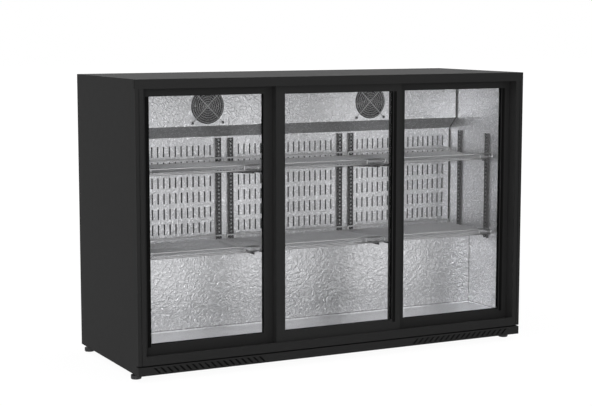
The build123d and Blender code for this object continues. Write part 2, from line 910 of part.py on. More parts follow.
parts = {
    "top_panel": top_panel(),
    "back_panel": back_panel(),
    "base_pan": base_pan(),
    "insulation_foam": insulation_foam(),
    "ceiling_liner": ceiling_liner(),
    "floor_liner": floor_liner(),
    "back_liner": back_liner(),
    "front_top_rail": front_rail(opening_high, rail_roof, left, right),
    "front_bottom_rail": front_rail(
        opening_low - bottom_rail_height, opening_low, opening_left, opening_right
    ),
    "top_track": top_track(),
    "bottom_track": bottom_track(),
    "kick_panel": kick_panel(),
    "evaporator_cover": evaporator_cover(),
    "duct_panel": duct_panel(),
    "fan_guards": fan_guard(-fan_offset) + fan_guard(fan_offset),
    "fan_motors": fan_motors(),
    "shelf_pilasters": shelf_pilasters(),
    "shelf_supports": shelf_supports(),
    "evaporator_coil": evaporator_coil(),
    "compressor": compressor(),
    "condenser_coil": condenser_coil(),
    "condenser_shroud": condenser_shroud(),
    "refrigerant_pipes": refrigerant_pipes(),
    "rear_grille": rear_grille(),
    "mains_inlet": mains_inlet(),
    "controller_box": controller_box(),
}
for name, shape in (("side_panel", side_panel()), ("liner", side_liner()), ("jamb", jamb())):
    pair = both_sides(shape)
    parts[f"left_{name}"], parts[f"right_{name}"] = pair

for name, start, width, stiles, face, sill, pull in doors():
    parts[f"{name}_door_frame"] = door_frame(start, width, stiles, face, sill, pull)
    parts[f"{name}_door_glass"] = door_glass(start, width, stiles, face, sill)
    parts[f"{name}_door_gasket"] = door_gasket(start, width, stiles, face, sill)
    for side, x in zip(("left", "right"), roller_places(start, width)):
        parts[f"{name}_door_{side}_roller"] = roller(x, face)

for name, start, end in shelf_spans():
    for row, level in zip(("upper", "lower"), shelf_levels):
        parts[f"{row}_{name}_shelf"] = shelf(start, end, level)

for name, (x, y) in zip(("front_left", "front_right", "rear_left", "rear_right"), foot_places()):
    parts[f"{name}_foot"] = foot(x, y)

for name, x in (("left", -fan_offset), ("right", fan_offset)):
    place = Pos(x, evaporator_fan_front, fan_middle)
    parts[f"{name}_evaporator_fan"] = place * fan(fan_radius)
condenser_place = Pos(condenser_x, condenser_fan_front, condenser_middle)
parts["condenser_fan"] = condenser_place * fan(condenser_fan_radius)

os.makedirs("parts", exist_ok=True)
for name, shape in parts.items():
    solids = [s for piece in shape for s in piece.solids()] if isinstance(shape, list) else shape.solids()
    body = solids[0] if len(solids) == 1 else Compound(children=list(solids))
    body.label = name
    export_step(body, f"parts/{name}.step")
print(len(parts), "parts")
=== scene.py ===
import bmesh
import bpy
import json
import math
from mathutils import Matrix, Vector


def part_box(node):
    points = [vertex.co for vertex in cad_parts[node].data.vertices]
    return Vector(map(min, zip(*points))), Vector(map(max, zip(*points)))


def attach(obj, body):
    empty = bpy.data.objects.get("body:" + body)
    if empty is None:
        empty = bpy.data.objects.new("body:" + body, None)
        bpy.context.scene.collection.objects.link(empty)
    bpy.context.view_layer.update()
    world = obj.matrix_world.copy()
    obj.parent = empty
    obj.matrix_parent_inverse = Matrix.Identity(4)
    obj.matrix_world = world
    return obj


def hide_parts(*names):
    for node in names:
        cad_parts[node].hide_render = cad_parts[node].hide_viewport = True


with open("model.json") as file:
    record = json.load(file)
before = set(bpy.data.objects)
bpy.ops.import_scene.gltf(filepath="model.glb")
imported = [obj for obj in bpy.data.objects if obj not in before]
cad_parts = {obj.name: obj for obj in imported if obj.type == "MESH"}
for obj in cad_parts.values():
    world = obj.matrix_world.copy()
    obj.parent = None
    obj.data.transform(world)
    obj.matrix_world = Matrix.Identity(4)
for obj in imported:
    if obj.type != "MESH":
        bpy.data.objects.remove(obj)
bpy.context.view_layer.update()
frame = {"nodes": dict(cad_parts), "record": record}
nodes = frame["nodes"]
scene = bpy.context.scene
print("frame loaded:", len(nodes), "nodes")


# shader building: Wire carries a socket and its maths, Paint makes the nodes of one material
class Wire:
    def __init__(self, paint, socket):
        self.paint = paint
        self.socket = socket

    def __add__(self, other):
        return self.paint.maths("ADD", self, other)

    def __radd__(self, other):
        return self.paint.maths("ADD", other, self)

    def __sub__(self, other):
        return self.paint.maths("SUBTRACT", self, other)

    def __rsub__(self, other):
        return self.paint.maths("SUBTRACT", other, self)

    def __mul__(self, other):
        return self.paint.maths("MULTIPLY", self, other)

    def __rmul__(self, other):
        return self.paint.maths("MULTIPLY", other, self)

    def __abs__(self):
        return self.paint.maths("ABSOLUTE", self, 0)


class Made:
    def __init__(self, paint, node):
        self.paint = paint
        self.node = node

    def __getitem__(self, key):
        return Wire(self.paint, self.node.outputs[key])


class Paint:
    def __init__(self, name):
        self.material = bpy.data.materials.new(name)
        self.material.use_nodes = True
        self.tree = self.material.node_tree
        self.tree.nodes.clear()

    def add(self, kind, settings=None, values=None):
        node = self.tree.nodes.new(kind)
        for key, value in (settings or {}).items():
            setattr(node, key, value)
        for key, value in (values or {}).items():
            if isinstance(value, Wire):
                self.tree.links.new(value.socket, node.inputs[key])
            else:
                node.inputs[key].default_value = value
        return Made(self, node)

    def maths(self, operation, a, b):
        return self.add("ShaderNodeMath", {"operation": operation}, {0: a, 1: b})[0]

    def ramp(self, value, low, high):  # 0 at low, 1 at high
        return self.add("ShaderNodeMapRange", None, {0: value, 1: low, 2: high})[0]

    def place(self):  # object coordinates, which are metres in the fridge's own frame
        return self.add("ShaderNodeTexCoord")["Object"]

    def axes(self):
        return self.add("ShaderNodeSeparateXYZ", None, {0: self.place()})

    def noise(self, scale, detail=2, vector=None):
        values = {"Vector": vector or self.place(), "Scale": scale, "Detail": detail}
        return self.add("ShaderNodeTexNoise", None, values)["Fac"]

    def uneven(self, middle, span, scale):
        return middle + (self.noise(scale) - 0.5) * span

    def blendOf(self, a, b, amount):
        a, b = (colour if isinstance(colour, Wire) else (*colour, 1) for colour in (a, b))
        return self.add("ShaderNodeMix", {"data_type": "RGBA"}, {0: amount, 6: a, 7: b})[2]

    def bump(self, height, distance, strength=1.0):
        values = {"Height": height, "Distance": distance, "Strength": strength}
        return self.add("ShaderNodeBump", None, values)["Normal"]

    def surface(self, **values):
        named = {key.replace("_", " "): value for key, value in values.items()}
        return self.add("ShaderNodeBsdfPrincipled", None, named)["BSDF"]

    def finish(self, shader):
        self.add("ShaderNodeOutputMaterial", None, {"Surface": shader})
        return self.material


coat = {
    "dark": (0.0235, 0.0235, 0.02353), "light": (0.0257, 0.0257, 0.02574), "cloud": 3.0,
    "roughness": 0.48, "span": 0.06, "patch": 40.0, "shine": 0.02,
    "peel": 700.0, "speck": 2200.0, "speckShare": 0.4, "depth": 0.00006, "relief": 0.7,
}


def powderCoat():
    paint = Paint("blackPowderCoat")
    height = paint.noise(coat["peel"], 2) + paint.noise(coat["speck"], 1) * coat["speckShare"]
    return paint.finish(paint.surface(
        Base_Color=paint.blendOf(coat["dark"], coat["light"], paint.noise(coat["cloud"], 3)),
        Roughness=paint.uneven(coat["roughness"], coat["span"], coat["patch"]),
        Specular_IOR_Level=coat["shine"],
        Normal=paint.bump(height, coat["depth"], coat["relief"]),
    ))


# the hollows' colour is painted shade in the dimples
stucco = {
    "dark": (0.865, 0.868, 0.880), "light": (0.905, 0.908, 0.920), "hollow": (0.60, 0.603, 0.612),
    "cloud": 2.0, "roughness": 0.31, "span": 0.05, "patch": 60.0,
    "grain": 118.0, "smoothness": 0.6, "fold": 60.0, "bend": 0.035, "depth": 0.0021,
    "pebbleShare": -0.7, "ripple": 1.4, "rippleShare": 0.3, "hollowHeight": -0.17, "crestHeight": 0.03,
    "seam": 0.092, "corner": 0.6432, "seamHalf": 0.0009, "seamSoft": 0.2, "seamColour": (0.12, 0.12, 0.12),
    "tray": 0.15, "trayEdge": 0.004,
}


# a shade factor below 1 darkens every colour but the seam's, as painted shade
def stuccoSheet(name, paintedShade=1.0):
    paint = Paint(name)
    values = {"Vector": paint.place(), "Scale": stucco["fold"], "Detail": 2}
    warp = paint.add("ShaderNodeTexNoise", None, values)["Color"]
    values = {0: warp, "Scale": stucco["bend"]}
    shift = paint.add("ShaderNodeVectorMath", {"operation": "SCALE"}, values)["Vector"]
    bent = paint.add("ShaderNodeVectorMath", {"operation": "ADD"}, {0: paint.place(), 1: shift})["Vector"]
    values = {"Vector": bent, "Scale": stucco["grain"], "Smoothness": stucco["smoothness"]}
    pebble = paint.add("ShaderNodeTexVoronoi", {"feature": "SMOOTH_F1"}, values)["Distance"]
    ripple = paint.noise(stucco["grain"] * stucco["ripple"], 1, bent)
    height = pebble * stucco["pebbleShare"] + ripple * stucco["rippleShare"]
    apart = paint.axes()
    up, side = apart["Z"], abs(apart["X"])
    wall = paint.ramp(up, stucco["seam"] - stucco["trayEdge"], stucco["seam"])
    height = height * (wall * (1 - stucco["tray"]) + stucco["tray"])  # the floor tray is pressed smoother
    away = paint.maths("MINIMUM", abs(up - stucco["seam"]), abs(side - stucco["corner"]))
    soft = stucco["seamSoft"]
    clear = paint.ramp(away, stucco["seamHalf"] * (1 - soft), stucco["seamHalf"] * (1 + soft))
    # painted shade: the dimples' hollows take a darker colour that stands in for the shade in them
    crest = paint.ramp(height, stucco["hollowHeight"], stucco["crestHeight"])
    dark, light, hollow = (tuple(paintedShade * value for value in stucco[key]) for key in ("dark", "light", "hollow"))
    sheet = paint.blendOf(dark, light, paint.noise(stucco["cloud"], 3))
    return paint.finish(paint.surface(
        Base_Color=paint.blendOf(stucco["seamColour"], paint.blendOf(hollow, sheet, crest), clear),
        Metallic=1.0,
        Roughness=paint.uneven(stucco["roughness"], stucco["span"], stucco["patch"]),
        Normal=paint.bump(height, stucco["depth"]),
    ))


metal = {"detail": 3, "span": 0.06, "patch": 3, "texture": 8, "relief": 0.5}


def plainMetal(name, dark, light, roughness, grain, depth):
    paint = Paint(name)
    return paint.finish(paint.surface(
        Base_Color=paint.blendOf(dark, light, paint.noise(grain, metal["detail"])),
        Metallic=1.0,
        Roughness=paint.uneven(roughness, metal["span"], grain * metal["patch"]),
        Normal=paint.bump(paint.noise(grain * metal["texture"]), depth, metal["relief"]),
    ))


moulding = {"detail": 2, "span": 0.1, "patch": 2, "texture": 10, "relief": 0.6}


def moulded(name, dark, light, roughness, grain, depth, shine=0.4):
    paint = Paint(name)
    return paint.finish(paint.surface(
        Base_Color=paint.blendOf(dark, light, paint.noise(grain, moulding["detail"])),
        Roughness=paint.uneven(roughness, moulding["span"], grain * moulding["patch"]),
        Specular_IOR_Level=shine,
        Normal=paint.bump(paint.noise(grain * moulding["texture"]), depth, moulding["relief"]),
    ))


glass = {"index": 1.22, "tint": (0.99, 0.99, 0.992, 1), "roughness": 0.02}


def clearGlass():
    paint = Paint("clearGlass")
    rim = paint.add("ShaderNodeFresnel", None, {"IOR": glass["index"]})["Fac"]
    through = paint.add("ShaderNodeBsdfTransparent", None, {"Color": glass["tint"]})["BSDF"]
    values = {"Color": (1, 1, 1, 1), "Roughness": glass["roughness"]}
    sheen = paint.add("ShaderNodeBsdfAnisotropic", None, values)["BSDF"]
    return paint.finish(paint.add("ShaderNodeMixShader", None, {0: rim, 1: through, 2: sheen})["Shader"])


# painted shade: the gap colour between the fin edges stands in for the shade between the fins
fins = {
    "pitch": 0.003, "gap": (0.06, 0.06, 0.065), "edge": (0.55, 0.56, 0.57),
    "roughness": 0.4, "depth": 0.001,
}


def finned():
    paint = Paint("finnedCoil")
    # the dark stripes between the fin edges are painted shade
    height = paint.maths("PINGPONG", paint.axes()["X"], fins["pitch"] / 2) * (2 / fins["pitch"])
    return paint.finish(paint.surface(
        Base_Color=paint.blendOf(fins["gap"], fins["edge"], height),
        Metallic=1.0, Roughness=fins["roughness"], Normal=paint.bump(height, fins["depth"]),
    ))


def grey(value):
    return (value, value, value)


fine = 0.0001  # depth of the grain on most sheets and mouldings
finishes = {
    "black_powder_coat": powderCoat(),
    "stucco_aluminium": stuccoSheet("stuccoAluminium"),
    "door_glass": clearGlass(),
    "finned_coil": finned(),
}
metals = {  # material, dark, light, roughness, grain, depth
    "chromed_wire": ("chromedWire", (0.51, 0.51, 0.515), (0.60, 0.60, 0.605), 0.31, 60.0, 0.00003),
    "galvanised_steel": ("galvanisedSteel", (0.30, 0.31, 0.32), (0.48, 0.49, 0.50), 0.42, 35.0, fine),
    "copper_tube": ("copperTube", (0.50, 0.22, 0.12), (0.68, 0.34, 0.2), 0.3, 40.0, fine),
}
mouldings = {  # the same, and shine
    "black_rubber": ("blackRubber", grey(0.003), grey(0.005), 0.8, 80.0, fine, 0.06),
    "black_plastic": ("blackPlastic", (0.010, 0.010, 0.011), (0.016, 0.016, 0.017), 0.5, 70.0, fine),
    "white_nylon": ("whiteNylon", (0.55, 0.55, 0.52), (0.65, 0.65, 0.62), 0.4, 90.0, fine),
    "dark_painted_strip": ("darkStrip", (0.012, 0.012, 0.0125), (0.019, 0.019, 0.020), 0.5, 50.0, fine, 0.2),
    "compressor_paint": ("compressorPaint", grey(0.012), grey(0.02), 0.25, 30.0, fine),
    "grey_plastic": ("greyPlastic", (0.25, 0.26, 0.27), (0.31, 0.32, 0.33), 0.5, 60.0, fine),
    "foam": ("foam", (0.6, 0.52, 0.33), (0.72, 0.64, 0.42), 0.9, 150.0, 0.001),
}
finishes.update({slotName: plainMetal(*values) for slotName, values in metals.items()})
finishes.update({slotName: moulded(*values) for slotName, values in mouldings.items()})
slotOf = {part["node"]: part["material_slot"] for part in frame["record"]["subparts"]}
paintedShadeFinishes = {  # painted shade: darker copies of the finishes for what sits in the dark behind the sheets
    "back_liner": stuccoSheet("paintedShadeAluminium", 0.12),
    "fan_motors": plainMetal("paintedShadeMotor", grey(0.05), grey(0.09), 0.5, 40.0, fine),
    "base_pan": plainMetal("paintedShadePan", grey(0.006), grey(0.010), 0.5, 40.0, fine),
}
for name, node in nodes.items():
    node.data.materials.clear()
    node.data.materials.append(paintedShadeFinishes.get(name) or finishes[slotOf[name]])
print("finishes made:", len(finishes))


# geometry nodes: Maker builds one tree with named inputs, then turns it into a plain mesh
class Maker:
    def __init__(self, name, sizes):
        self.name = name
        self.sizes = sizes
        self.tree = bpy.data.node_groups.new(name, "GeometryNodeTree")
        self.tree.interface.new_socket("Geometry", in_out="OUTPUT", socket_type="NodeSocketGeometry")
        self.sockets = {}
        for key, value in sizes.items():
            kind = "NodeSocketInt" if isinstance(value, int) else "NodeSocketFloat"
            self.sockets[key] = self.tree.interface.new_socket(key, in_out="INPUT", socket_type=kind)
        self.source = self.tree.nodes.new("NodeGroupInput")

    def size(self, key):
        return self.source.outputs[key]

    def add(self, kind, settings=None, values=None):
        node = self.tree.nodes.new(kind)
        for key, value in (settings or {}).items():
            setattr(node, key, value)
        for key, value in (values or {}).items():
            if isinstance(value, bpy.types.NodeSocket):
                self.tree.links.new(value, node.inputs[key])
            else:
                node.inputs[key].default_value = value
        return node.outputs[0]

    def join(self, pieces):
        node = self.tree.nodes.new("GeometryNodeJoinGeometry")
        for piece in pieces:
            self.tree.links.new(piece, node.inputs[0])
        return node.outputs[0]

    def ratio(self, key, factor, extra=0.0):
        values = {0: self.size(key), 1: factor, 2: extra}
        return self.add("ShaderNodeMath", {"operation": "MULTIPLY_ADD"}, values)

    def point(self, x=0.0, y=0.0, z=0.0):
        return self.add("ShaderNodeCombineXYZ", None, {"X": x, "Y": y, "Z": z})

    def circle(self, radius, sides):
        return self.add("GeometryNodeCurvePrimitiveCircle", None, {"Resolution": sides, "Radius": radius})

    def rounded(self, size, radius, steps):
        loop = self.add("GeometryNodeCurvePrimitiveQuadrilateral", None, size)
        values = {"Curve": loop, "Radius": radius, "Count": steps}
        return self.add("GeometryNodeFilletCurve", {"mode": "POLY"}, values)

    def tube(self, curve, radius, sides):
        values = {"Curve": curve, "Profile Curve": self.circle(radius, sides), "Fill Caps": True}
        return self.add("GeometryNodeCurveToMesh", None, values)

    def line(self, start, end):
        return self.add("GeometryNodeCurvePrimitiveLine", None, {"Start": start, "End": end})

    def moved(self, piece, offset, turn=(0, 0, 0)):
        values = {"Geometry": piece, "Translation": offset, "Rotation": turn}
        return self.add("GeometryNodeTransform", None, values)

    def row(self, piece, count, start, end):
        values = {"Count": count, "Start Location": start, "Offset": end}
        points = self.add("GeometryNodeMeshLine", {"mode": "END_POINTS"}, values)
        return self.add("GeometryNodeInstanceOnPoints", None, {"Points": points, "Instance": piece})

    def mesh(self, piece, slotName, objectName, place):
        solid = self.add("GeometryNodeRealizeInstances", None, {"Geometry": piece})
        values = {"Geometry": solid, "Material": finishes[slotName]}
        last = self.add("GeometryNodeSetMaterial", None, values)
        self.tree.links.new(last, self.tree.nodes.new("NodeGroupOutput").inputs[0])
        holder = bpy.data.objects.new(objectName + ".maker", bpy.data.meshes.new("empty"))
        scene.collection.objects.link(holder)
        modifier = holder.modifiers.new(self.name, "NODES")
        modifier.node_group = self.tree
        for key, value in self.sizes.items():
            modifier[self.sockets[key].identifier] = value
        ready = holder.evaluated_get(bpy.context.evaluated_depsgraph_get())
        data = bpy.data.meshes.new_from_object(ready)
        data.materials.clear()
        data.materials.append(finishes[slotName])
        data.polygons.foreach_set("material_index", [0] * len(data.polygons))
        data.transform(Matrix.Translation(place))
        data.name = objectName
        bpy.data.objects.remove(holder)
        made = bpy.data.objects.new(objectName, data)
        scene.collection.objects.link(made)
        return made


def smooth(made):
    made.data.polygons.foreach_set("use_smooth", [True] * len(made.data.polygons))


# wire shelves
shelf = {
    "wire": 0.003, "frameWire": 0.006, "railWire": 0.005, "pitch": 0.0105, "rise": 0.010, "tieOffset": 0.154,
    "corner": 0.010, "cornerSteps": 4, "railBend": 0.35, "thinSides": 6, "thickSides": 8,
}


def wireShelf(name):
    low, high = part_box(name)
    width, depth = high.x - low.x, high.y - low.y
    top = high.z - shelf["rise"] - shelf["railWire"] / 2  # upper face of the close wires
    count = round((width - 2 * shelf["frameWire"]) / shelf["pitch"])
    maker = Maker(name + "Wires", {
        "Width": width, "Depth": depth, "Wire": shelf["wire"], "Frame Wire": shelf["frameWire"],
        "Rail Wire": shelf["railWire"], "Corner": shelf["corner"], "Wires": count,
    })
    level = -shelf["wire"] / 2
    under = -shelf["wire"] - shelf["frameWire"] / 2
    reach = depth / 2 - shelf["railWire"] / 2
    edge = width / 2 - shelf["frameWire"]
    aside, steps = shelf["tieOffset"], shelf["cornerSteps"]
    thinSides, thickSides = shelf["thinSides"], shelf["thickSides"]
    thick, thin = maker.ratio("Frame Wire", 0.5), maker.ratio("Rail Wire", 0.5)
    wire = maker.line((0, -reach, level), (0, reach, level))
    wire = maker.tube(wire, maker.ratio("Wire", 0.5), thinSides)
    wires = maker.row(wire, maker.size("Wires"), (-edge, 0, 0), (edge, 0, 0))
    frameSize = {
        "Width": maker.ratio("Width", 1, -shelf["frameWire"]),
        "Height": maker.ratio("Depth", 1, -shelf["frameWire"]),
    }
    loop = maker.rounded(frameSize, maker.size("Corner"), steps)
    outer = maker.moved(maker.tube(loop, thick, thickSides), (0, 0, under))
    tie = maker.tube(maker.line((0, -reach, under), (0, reach, under)), thick, thickSides)
    ties = maker.row(tie, 2, (-aside, 0, 0), (aside, 0, 0))
    height = shelf["rise"] - under
    railSize = {"Width": maker.ratio("Width", 1, -shelf["railWire"]), "Height": height}
    rail = maker.tube(maker.rounded(railSize, height * shelf["railBend"], steps), thin, thickSides)
    rail = maker.moved(rail, (0, 0, under + height / 2), (math.pi / 2, 0, 0))
    post = maker.tube(maker.line((0, 0, under), (0, 0, shelf["rise"])), thin, thinSides)
    posts = maker.row(post, 2, (-aside, 0, 0), (aside, 0, 0))
    fences = maker.row(maker.join([rail, posts]), 2, (0, -reach, 0), (0, reach, 0))
    middle = (low + high) / 2
    place = Vector((middle.x, middle.y, top))
    made = maker.mesh(maker.join([wires, outer, ties, fences]), "chromed_wire", name + ".wires", place)
    smooth(made)
    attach(made, name)
    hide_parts(name)


shelfNames = [name for name in nodes if name.endswith("_shelf")]
for name in shelfNames:
    wireShelf(name)
print("wire shelves:", len(shelfNames))


# fan guards with their screws
guard = {
    "wire": 0.00105, "spoke": 0.0022, "rings": 7, "pitch": 0.0074, "holes": 0.1048, "eye": 0.0045,
    "head": 0.0036, "lift": 0.0018, "wireSides": 6, "ringSides": 48, "eyeSides": 20, "screwSides": 12,
}


def fanGuards():
    low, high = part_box("fan_guards")
    z = (low.z + high.z) / 2
    half = (high.z - low.z) / 2
    spots = [low.x + half, high.x - half]
    sides, upright = guard["wireSides"], (math.pi / 2, 0, 0)
    maker = Maker("fanGuardWires", {
        "Wire": guard["wire"], "Spoke": guard["spoke"], "Pitch": guard["pitch"], "Spread": guard["holes"],
    })
    rings = [maker.circle(maker.ratio("Pitch", i + 1), guard["ringSides"]) for i in range(guard["rings"])]
    face = maker.tube(maker.join(rings), maker.ratio("Wire", 0.5), sides)
    face = maker.moved(face, (0, -(guard["wire"] + guard["spoke"]) / 2, 0), upright)
    reach = maker.ratio("Spread", math.sqrt(0.5), -guard["eye"])
    thick = maker.ratio("Spoke", 0.5)
    spoke = maker.tube(maker.line((0, 0, 0), maker.point(reach)), thick, sides)
    eye = maker.tube(maker.circle(guard["eye"], guard["eyeSides"]), thick, sides)
    lug = maker.moved(eye, maker.point(maker.ratio("Spread", math.sqrt(0.5))), upright)
    arm = maker.join([spoke, lug])
    arms = [maker.moved(arm, (0, 0, 0), (0, math.radians(45 + 90 * i), 0)) for i in range(4)]
    unit = maker.join([face, *arms])
    pair = maker.join([maker.moved(unit, (x, 0, 0)) for x in spots])
    place = Vector((0, high.y - guard["spoke"] / 2, z))
    made = maker.mesh(pair, "chromed_wire", "fanGuards.wires", place)
    smooth(made)
    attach(made, "cabinet")
    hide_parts("fan_guards")
    maker = Maker("guardScrews", {"Head": guard["head"], "Spread": guard["holes"]})
    values = {"Vertices": guard["screwSides"], "Radius": maker.size("Head"), "Depth": guard["lift"]}
    head = maker.add("GeometryNodeMeshCylinder", None, values)
    head = maker.moved(head, (0, guard["lift"] * -0.5, 0), upright)
    offsets = (maker.ratio("Spread", 0.5), maker.ratio("Spread", -0.5))
    unit = maker.join([maker.moved(head, maker.point(x, 0, up)) for x in offsets for up in offsets])
    pair = maker.join([maker.moved(unit, (x, 0, 0)) for x in spots])
    screws = maker.mesh(pair, "dark_painted_strip", "fanGuards.screws", Vector((0, high.y - guard["spoke"], z)))
    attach(screws, "cabinet")


fanGuards()
print("fan guards made")


# screws that hold the rear sheets
rearScrew = {
    "head": 0.0042, "crown": 0.0034, "lift": 0.0016, "sides": 12, "margin": 0.014, "columns": 7, "levels": 3,
}


def rearScrews():
    panel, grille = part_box("back_panel"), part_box("rear_grille")
    margin = rearScrew["margin"]
    maker = Maker("rearScrewHeads", {
        "Head": rearScrew["head"], "Crown": rearScrew["crown"], "Lift": rearScrew["lift"],
        "Columns": rearScrew["columns"], "Levels": rearScrew["levels"],
    })
    values = {
        "Vertices": rearScrew["sides"], "Radius Top": maker.size("Crown"),
        "Radius Bottom": maker.size("Head"), "Depth": maker.size("Lift"),
    }
    head = maker.moved(maker.add("GeometryNodeMeshCone", None, values), (0, 0, 0), (-math.pi / 2, 0, 0))
    left, right = panel[0].x + margin, panel[1].x - margin
    rows = [
        maker.row(head, maker.size("Columns"), (left, 0, z), (right, 0, z))
        for z in (panel[1].z - margin, panel[0].z + margin, grille[1].z - margin, grille[0].z + margin)
    ]
    step = (panel[1].z - panel[0].z - 2 * margin) / (rearScrew["levels"] + 1)
    low, high = panel[0].z + margin + step, panel[1].z - margin - step
    rows += [maker.row(head, maker.size("Levels"), (x, 0, low), (x, 0, high)) for x in (left, right)]
    made = maker.mesh(maker.join(rows), "galvanised_steel", "rearScrews", Vector((0, panel[1].y, 0)))
    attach(made, "cabinet")


rearScrews()
print("rear screws made")


# long thin pieces: each bar is a list of closed loops, joined one to the next and capped
def barsPiece(name, bars, slotName, body):
    points, faces = [], []
    for loops in bars:
        first, n = len(points), len(loops[0])
        points += [point for loop in loops for point in loop]
        for i in range(len(loops) - 1):
            for j in range(n):
                a, b = first + i * n + j, first + i * n + (j + 1) % n
                faces.append((a, b, b + n, a + n))
        faces += [tuple(range(first, first + n)), tuple(range(len(points) - n, len(points)))]
    data = bpy.data.meshes.new(name)
    data.from_pydata(points, [], faces)
    tool = bmesh.new()
    tool.from_mesh(data)
    bmesh.ops.recalc_face_normals(tool, faces=tool.faces)
    tool.to_mesh(data)
    tool.free()
    data.materials.append(finishes[slotName])
    made = bpy.data.objects.new(name, data)
    scene.collection.objects.link(made)
    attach(made, body)
    return made


def joinMeshes(name, objects):
    tool = bmesh.new()
    for piece in objects:
        tool.from_mesh(piece.data)
    data = bpy.data.meshes.new(name)
    tool.to_mesh(data)
    tool.free()
    data.materials.append(objects[0].data.materials[0])
    for piece in objects:
        bpy.data.meshes.remove(piece.data)
    made = bpy.data.objects.new(name, data)
    scene.collection.objects.link(made)
    return made


# perforated shelf strips
strip = {
    "sheet": 0.0012, "pitch": 0.0125, "hole": 0.0030, "holeSides": 12,
    "backing": 0.0016, "plate": 0.0005, "weld": 1e-6,
}


def islandsOf(node):  # the box of each loose piece of a node's mesh
    copy = node.data.copy()
    tool = bmesh.new()
    tool.from_mesh(copy)
    bmesh.ops.remove_doubles(tool, verts=tool.verts, dist=strip["weld"])
    left = set(tool.verts)
    boxes = []
    while left:
        stack = [left.pop()]
        points = []
        while stack:
            vertex = stack.pop()
            points.append(node.matrix_world @ vertex.co)
            for edge in vertex.link_edges:
                other = edge.other_vert(vertex)
                if other in left:
                    left.remove(other)
                    stack.append(other)
        low = Vector([min(point[axis] for point in points) for axis in range(3)])
        high = Vector([max(point[axis] for point in points) for axis in range(3)])
        boxes.append((low, high))
    tool.free()
    bpy.data.meshes.remove(copy)
    return sorted(boxes, key=lambda box: tuple(box[0]))


def stripUnit(maker):
    width, height, depth = maker.size("Width"), maker.size("Height"), maker.size("Depth")
    sheet, pitch = maker.size("Sheet"), maker.size("Pitch")
    rim = maker.add("GeometryNodeCurvePrimitiveQuadrilateral", None, {"Width": width, "Height": pitch})
    hole = maker.circle(maker.size("Hole"), strip["holeSides"])
    cell = maker.add("GeometryNodeFillCurve", {"mode": "TRIANGLES"}, {"Curve": maker.join([rim, hole])})
    back = maker.add("GeometryNodeFlipFaces", None, {0: cell})
    values = {"Mesh": cell, "Offset Scale": sheet, "Individual": False}
    cell = maker.join([back, maker.add("GeometryNodeExtrudeMesh", None, values)])
    cell = maker.moved(cell, (0, 0, 0), (math.pi / 2, 0, 0))
    top = maker.point(0, sheet, maker.ratio("Run", 0.5))
    bottom = maker.point(0, sheet, maker.ratio("Run", -0.5))
    pieces = [maker.row(cell, maker.size("Cells"), bottom, top)]
    flange = maker.add("GeometryNodeMeshCube", None, {"Size": maker.point(sheet, depth, height)})
    offset = maker.ratio("Width", 0.5)
    for side in (1, -1):
        x = maker.add("ShaderNodeMath", {"operation": "MULTIPLY"}, {0: offset, 1: side})
        pieces.append(maker.moved(flange, maker.point(x, maker.ratio("Depth", 0.5), 0)))
    return maker.join(pieces)


def shelfStrips():
    shells, backs = [], []
    for near, far in islandsOf(nodes["shelf_pilasters"]):
        middle, size = (near + far) / 2, far - near
        onWall = size.x < size.y
        depth, width = (size.x, size.y) if onWall else (size.y, size.x)
        cells = int(size.z // strip["pitch"])
        name = "strip%d" % len(shells)
        maker = Maker(name, {
            "Width": width - strip["sheet"], "Height": size.z, "Depth": depth, "Sheet": strip["sheet"],
            "Pitch": strip["pitch"], "Run": (cells - 1) * strip["pitch"], "Hole": strip["hole"], "Cells": cells,
        })
        made = maker.mesh(stripUnit(maker), "dark_painted_strip", name, Vector((0, 0, 0)))
        turn, front = 0.0, Vector((middle.x, near.y, middle.z))
        if onWall:
            turn = math.pi / 2 if middle.x < 0 else -math.pi / 2
            front = Vector((far.x if middle.x < 0 else near.x, middle.y, middle.z))
        place = Matrix.Translation(front) @ Matrix.Rotation(turn, 4, "Z")
        made.data.transform(place)
        shells.append(made)
        half, run = (width - 3 * strip["sheet"]) / 2, size.z / 2 - strip["sheet"]
        back = strip["sheet"] + strip["backing"]
        corners = [(-half, back), (half, back), (half, back + strip["plate"]), (-half, back + strip["plate"])]
        backs.append([[place @ Vector((x, y, z)) for x, y in corners] for z in (-run, run)])
    joined = joinMeshes("shelfStrips.shells", shells)
    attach(joined, "cabinet")
    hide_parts("shelf_pilasters")
    barsPiece("shelfStrips.backing", backs, "galvanised_steel", "cabinet")


shelfStrips()
print("shelf strips made")


# rubber edging over the gaps between the duct, the cover and the side walls
seal = {
    "lap": 0.0016, "play": 0.0003, "front": -0.0010, "back": -0.0002,
    "knee": 0.041, "foot": 0.003, "short": 0.001,
}


def endSeals():
    cover, panel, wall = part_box("evaporator_cover"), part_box("duct_panel"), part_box("right_liner")
    line = [(cover[0].y, cover[1].z - seal["short"]), (cover[0].y, cover[0].z + seal["knee"])]
    line += [(panel[0].y, cover[0].z + seal["foot"]), (panel[0].y, panel[0].z + seal["short"])]
    near, far = cover[1].x - seal["lap"], wall[0].x - seal["play"]
    corners = [(near, seal["front"]), (far, seal["front"]), (far, seal["back"]), (near, seal["back"])]
    bars = [[[(x * side, y + ahead, z) for x, ahead in corners] for y, z in line] for side in (-1, 1)]
    barsPiece("endSeals", bars, "black_rubber", "cabinet")


# painted shade: a thin black rubber lining in each door's finger groove stands in for the shade in the groove
pull = {
    "bite": 0.010, "lip": 0.0015, "width": 0.0105, "depth": 0.0022, "overrun": 0.0075, "topGap": 0.0005,
    "half": 0.0048, "front": 0.0005, "back": 0.0001, "steps": 8,
}


